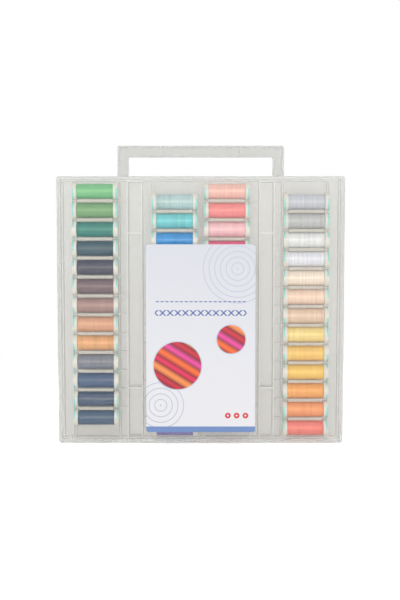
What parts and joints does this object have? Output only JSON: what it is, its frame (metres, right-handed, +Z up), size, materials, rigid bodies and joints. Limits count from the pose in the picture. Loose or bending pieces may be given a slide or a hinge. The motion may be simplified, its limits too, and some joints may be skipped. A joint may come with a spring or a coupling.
{
  "type": "thread storage case",
  "caption": "Slim upright thread storage case with a moulded carrying handle, hinged frosted lids front and back, spool trays with accessory channels, and snap-end spools of coloured thread.",
  "frame": {"origin": "middle of the base, on the surface the case stands on", "axes": "+X to the right seen from the front, +Z up, the front lid faces -Y"},
  "size_m": [0.356, 0.06, 0.3729],
  "materials": {
    "frosted_polypropylene": "milky translucent moulded polypropylene, satin",
    "tray_polypropylene": "milky translucent moulded polypropylene, satin",
    "spool_polystyrene": "cream moulded polystyrene, satin",
    "printed_ring": "cream moulded polystyrene with turquoise marks",
    "card": "coated card",
    "thread_green": "wound rayon thread, silky",
    "thread_teal": "wound rayon thread, silky",
    "thread_blue": "wound rayon thread, silky",
    "thread_slate": "wound rayon thread, silky",
    "thread_brown": "wound rayon thread, silky",
    "thread_peach": "wound rayon thread, silky",
    "thread_grey": "wound rayon thread, silky",
    "thread_purple": "wound rayon thread, silky",
    "thread_pink": "wound rayon thread, silky",
    "thread_red": "wound rayon thread, silky",
    "thread_orange": "wound rayon thread, silky",
    "thread_yellow": "wound rayon thread, silky",
    "thread_cream": "wound rayon thread, silky",
    "thread_white": "wound rayon thread, silky"
  },
  "bodies": {
    "case": {"centre_frame": "frosted_polypropylene", "front_hinge_pins": "frosted_polypropylene", "front_snap_rings_column_1": "printed_ring", "front_snap_rings_column_2": "printed_ring", "front_snap_rings_column_3": "printed_ring", "front_snap_rings_column_4": "printed_ring", "front_spools_column_1": "spool_polystyrene", "front_spools_column_2": "spool_polystyrene", "front_spools_column_3": "spool_polystyrene", "front_spools_column_4": "spool_polystyrene", "front_threads_blue": "thread_blue", "front_threads_brown": "thread_brown", "front_threads_cream": "thread_cream", "front_threads_green": "thread_green", "front_threads_grey": "thread_grey", "front_threads_orange": "thread_orange", "front_threads_peach": "thread_peach", "front_threads_pink": "thread_pink", "front_threads_purple": "thread_purple", "front_threads_red": "thread_red", "front_threads_slate": "thread_slate", "front_threads_teal": "thread_teal", "front_threads_white": "thread_white", "front_threads_yellow": "thread_yellow", "front_tray": "tray_polypropylene", "rear_hinge_pins": "frosted_polypropylene", "rear_snap_rings_column_1": "printed_ring", "rear_snap_rings_column_2": "printed_ring", "rear_snap_rings_column_3": "printed_ring", "rear_snap_rings_column_4": "printed_ring", "rear_spools_column_1": "spool_polystyrene", "rear_spools_column_2": "spool_polystyrene", "rear_spools_column_3": "spool_polystyrene", "rear_spools_column_4": "spool_polystyrene", "rear_threads_blue": "thread_blue", "rear_threads_brown": "thread_brown", "rear_threads_cream": "thread_cream", "rear_threads_green": "thread_green", "rear_threads_grey": "thread_grey", "rear_threads_orange": "thread_orange", "rear_threads_peach": "thread_peach", "rear_threads_pink": "thread_pink", "rear_threads_purple": "thread_purple", "rear_threads_red": "thread_red", "rear_threads_slate": "thread_slate", "rear_threads_teal": "thread_teal", "rear_threads_white": "thread_white", "rear_threads_yellow": "thread_yellow", "rear_tray": "tray_polypropylene"},
    "front_lid": {"front_lid": "frosted_polypropylene", "label_card": "card"},
    "rear_lid": {"rear_lid": "frosted_polypropylene"}
  },
  "joints": [
    {"name": "front_lid_hinge", "type": "hinge", "parent": "case", "child": "front_lid", "pos_m": [0, -0.0253, 0.0047], "axis": [1, 0, 0], "range_deg": [0, 90]},
    {"name": "rear_lid_hinge", "type": "hinge", "parent": "case", "child": "rear_lid", "pos_m": [0, 0.0253, 0.0047], "axis": [-1, 0, 0], "range_deg": [0, 90]}
  ]
}
